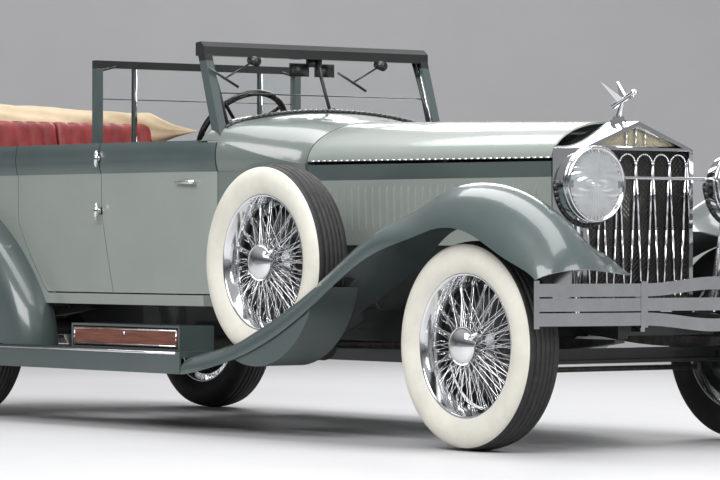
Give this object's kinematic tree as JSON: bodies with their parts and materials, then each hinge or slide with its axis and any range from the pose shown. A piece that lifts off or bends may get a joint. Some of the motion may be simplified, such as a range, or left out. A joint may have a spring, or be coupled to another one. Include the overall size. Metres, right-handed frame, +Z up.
{
  "type": "vintage convertible car",
  "caption": "Long vintage open car with two windscreens, side-mounted spare wheels, wire wheels, opening doors, folding hood sides and steering.",
  "frame": {"origin": "on the ground, midway between the front and rear ends and between the two sides", "axes": "+X forward, +Y to the car's left, +Z up"},
  "size_m": [5.5565, 1.7746, 1.684],
  "materials": {
    "body_paint": "gloss",
    "wing_paint": "gloss",
    "black_enamel": "gloss",
    "chrome": "polished",
    "glass": "clear",
    "carpet": "pile",
    "trim_leather": "satin",
    "seat_leather": "satin",
    "top_cloth": "canvas",
    "dash_wood": "varnished",
    "box_wood": "varnished",
    "engine_metal": "cast",
    "spring_steel": "oiled",
    "tyre": "matt",
    "black_plastic": "gloss"
  },
  "bodies": {
    "root": {"body_tub": "body_paint", "cowl": "body_paint", "floor": "carpet", "partition": "trim_leather", "hood_ledges": "black_enamel", "radiator": "chrome", "front_wings": "wing_paint", "rear_wings": "wing_paint", "running_boards": "wing_paint", "toolboxes": "wing_paint", "headlamps": "chrome", "bumpers": "chrome", "screen_frames": "chrome", "screen_glass": "glass", "front_seat": "seat_leather", "rear_seat": "seat_leather", "folded_top": "top_cloth", "dashboard": "dash_wood", "tail_lamps": "chrome", "chassis_frame": "black_enamel", "engine": "engine_metal", "front_axle": "black_enamel", "rear_axle": "black_enamel", "leaf_springs": "spring_steel", "exhaust": "spring_steel", "fuel_tank": "black_enamel", "spare_wheels": "chrome", "spare_tyres": "tyre"},
    "front_door_right": {"front_door_right": "body_paint"},
    "rear_door_right": {"rear_door_right": "body_paint"},
    "hood_top_right": {"hood_top_right": "body_paint"},
    "hood_side_right": {"hood_side_right": "body_paint"},
    "toolbox_flap_right": {"toolbox_flap_right": "box_wood"},
    "knuckle_right": {"knuckle_right": "black_enamel"},
    "wheel_front_right": {"wheel_front_right": "chrome", "tyre_front_right": "tyre"},
    "wheel_rear_right": {"wheel_rear_right": "chrome", "tyre_rear_right": "tyre"},
    "front_door_left": {"front_door_left": "body_paint"},
    "rear_door_left": {"rear_door_left": "body_paint"},
    "hood_top_left": {"hood_top_left": "body_paint"},
    "hood_side_left": {"hood_side_left": "body_paint"},
    "toolbox_flap_left": {"toolbox_flap_left": "box_wood"},
    "knuckle_left": {"knuckle_left": "black_enamel"},
    "wheel_front_left": {"wheel_front_left": "chrome", "tyre_front_left": "tyre"},
    "wheel_rear_left": {"wheel_rear_left": "chrome", "tyre_rear_left": "tyre"},
    "tie_rod": {"tie_rod": "spring_steel"},
    "steering_wheel": {"steering_wheel": "black_plastic"}
  },
  "joints": [
    {"name": "steer_right", "type": "hinge", "parent": "root", "child": "knuckle_right", "pos_m": [2.16, -0.61, 0.41], "axis": [0, 0, 1], "range_deg": [-30, 30]},
    {"name": "steer_left", "type": "hinge", "parent": "root", "child": "knuckle_left", "pos_m": [2.16, 0.61, 0.41], "axis": [0, 0, 1], "range_deg": [-30, 30]},
    {"name": "tie_rod_pivot", "type": "hinge", "parent": "knuckle_right", "child": "tie_rod", "pos_m": [1.98, -0.61, 0.3], "axis": [0, 0, 1], "range_deg": [-30, 30]},
    {"name": "steering_wheel_turn", "type": "hinge", "parent": "root", "child": "steering_wheel", "pos_m": [0.04, -0.33, 1.29], "axis": [-0.8192, 0, 0.5736], "range_deg": [-360, 360]},
    {"name": "wheel_front_right_spin", "type": "hinge", "parent": "knuckle_right", "child": "wheel_front_right", "pos_m": [2.16, -0.715, 0.41], "axis": [0, 1, 0], "continuous": true},
    {"name": "wheel_rear_right_spin", "type": "hinge", "parent": "root", "child": "wheel_rear_right", "pos_m": [-1.64, -0.71, 0.41], "axis": [0, 1, 0], "continuous": true},
    {"name": "front_door_right_hinge", "type": "hinge", "parent": "root", "child": "front_door_right", "pos_m": [-0.486, -0.75, 0.9], "axis": [0, 0, -1], "range_deg": [0, 70]},
    {"name": "rear_door_right_hinge", "type": "hinge", "parent": "root", "child": "rear_door_right", "pos_m": [-0.486, -0.75, 0.9], "axis": [0, 0, 1], "range_deg": [0, 70]},
    {"name": "hood_top_right_hinge", "type": "hinge", "parent": "root", "child": "hood_top_right", "pos_m": [0.596, 0, 1.335], "axis": [-0.9997, 0, 0.0234], "range_deg": [0, 50]},
    {"name": "hood_side_right_hinge", "type": "hinge", "parent": "hood_top_right", "child": "hood_side_right", "pos_m": [0.596, -0.384, 1.15], "axis": [-0.9979, -0.0647, 0.004], "range_deg": [-45, 0]},
    {"name": "toolbox_flap_right_hinge", "type": "hinge", "parent": "root", "child": "toolbox_flap_right", "pos_m": [-0.175, -0.806, 0.357], "axis": [1, 0, 0], "range_deg": [0, 90]},
    {"name": "wheel_front_left_spin", "type": "hinge", "parent": "knuckle_left", "child": "wheel_front_left", "pos_m": [2.16, 0.715, 0.41], "axis": [0, 1, 0], "continuous": true},
    {"name": "wheel_rear_left_spin", "type": "hinge", "parent": "root", "child": "wheel_rear_left", "pos_m": [-1.64, 0.71, 0.41], "axis": [0, 1, 0], "continuous": true},
    {"name": "front_door_left_hinge", "type": "hinge", "parent": "root", "child": "front_door_left", "pos_m": [-0.486, 0.75, 0.9], "axis": [0, 0, 1], "range_deg": [0, 70]},
    {"name": "rear_door_left_hinge", "type": "hinge", "parent": "root", "child": "rear_door_left", "pos_m": [-0.486, 0.75, 0.9], "axis": [0, 0, -1], "range_deg": [0, 70]},
    {"name": "hood_top_left_hinge", "type": "hinge", "parent": "root", "child": "hood_top_left", "pos_m": [0.596, 0, 1.335], "axis": [0.9997, 0, -0.0234], "range_deg": [0, 50]},
    {"name": "hood_side_left_hinge", "type": "hinge", "parent": "hood_top_left", "child": "hood_side_left", "pos_m": [0.596, 0.384, 1.15], "axis": [0.9979, -0.0647, -0.004], "range_deg": [-45, 0]},
    {"name": "toolbox_flap_left_hinge", "type": "hinge", "parent": "root", "child": "toolbox_flap_left", "pos_m": [-0.175, 0.806, 0.357], "axis": [-1, 0, 0], "range_deg": [0, 90]}
  ],
  "couplings": [
    {"joint": "steer_left", "follows": "steer_right", "ratio": 1},
    {"joint": "tie_rod_pivot", "follows": "steer_right", "ratio": -1},
    {"joint": "steering_wheel_turn", "follows": "steer_right", "ratio": 12},
    {"joint": "hood_side_right_hinge", "follows": "hood_top_right_hinge", "ratio": -0.85},
    {"joint": "hood_side_left_hinge", "follows": "hood_top_left_hinge", "ratio": -0.85}
  ]
}
